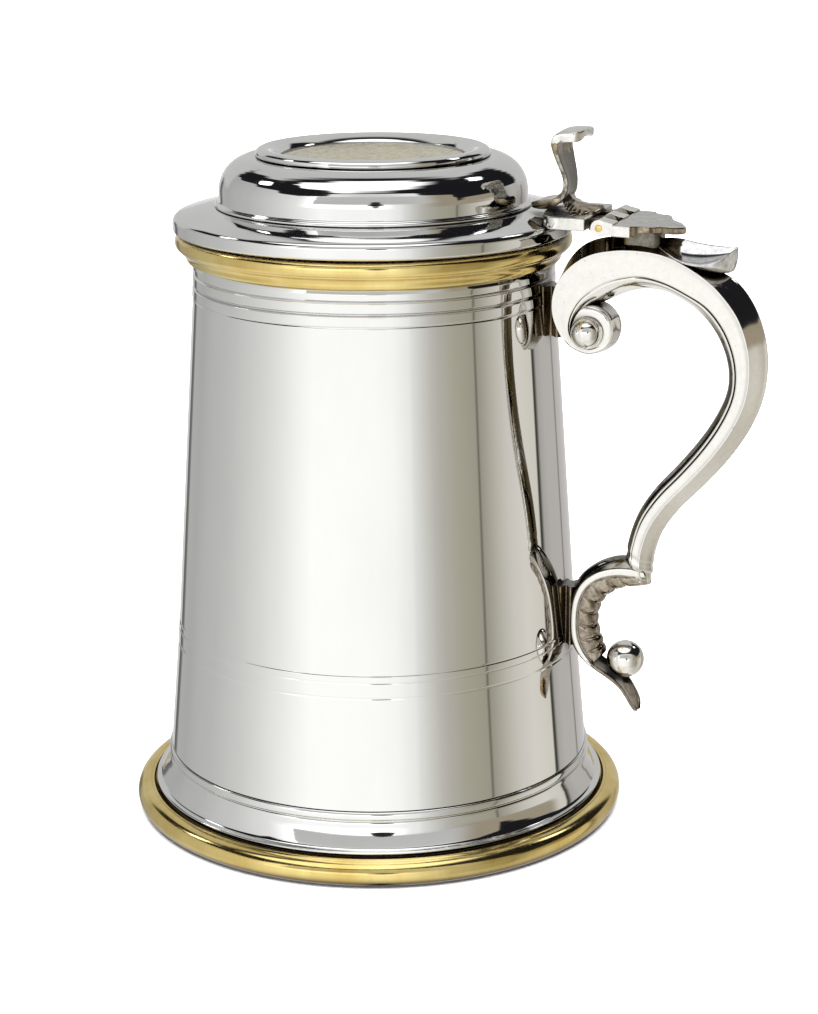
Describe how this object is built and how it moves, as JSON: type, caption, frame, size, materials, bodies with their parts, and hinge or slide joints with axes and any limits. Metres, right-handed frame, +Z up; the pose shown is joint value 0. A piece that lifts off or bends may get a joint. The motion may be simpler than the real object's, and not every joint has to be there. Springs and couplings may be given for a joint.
{
  "type": "lidded tankard",
  "caption": "Tapered pewter tankard with a brass rim and foot, a scrolled handle and a domed lid that swings up on a pinned hinge with a thumb lever.",
  "frame": {"origin": "on the drum's axis, in the plane of the foot ring's underside", "axes": "+Z up along the drum axis, +X towards the handle, +Y to the left of the handle as seen from the drum, along the hinge pin"},
  "size_m": [0.1375, 0.1066, 0.1488],
  "materials": {
    "polished_pewter": "polished",
    "cast_pewter": "satin",
    "brass": "satin",
    "relief_pewter": "satin"
  },
  "bodies": {
    "tankard": {"foot_ring": "brass", "foot_skirt": "polished_pewter", "base_plate": "polished_pewter", "drum": "polished_pewter", "rim_band": "brass", "upper_pad": "cast_pewter", "handle_sweep": "cast_pewter", "volute_boss_near": "cast_pewter", "volute_boss_far": "cast_pewter", "lower_pad": "cast_pewter", "lower_scroll": "cast_pewter", "scroll_ball": "cast_pewter", "crest_leaf": "cast_pewter", "hinge_bracket": "cast_pewter", "hinge_leaf": "cast_pewter", "hinge_pin": "brass"},
    "lid": {"lid_flange": "polished_pewter", "lid_dome": "polished_pewter", "locating_ring": "polished_pewter", "bezel_ring": "polished_pewter", "medallion": "relief_pewter", "lid_lug": "cast_pewter", "thumbpiece": "cast_pewter"}
  },
  "joints": [
    {"name": "lid_hinge", "type": "hinge", "parent": "tankard", "child": "lid", "pos_m": [0.0515, 0, 0.1299], "axis": [0, 1, 0], "range_deg": [0, 105]}
  ]
}
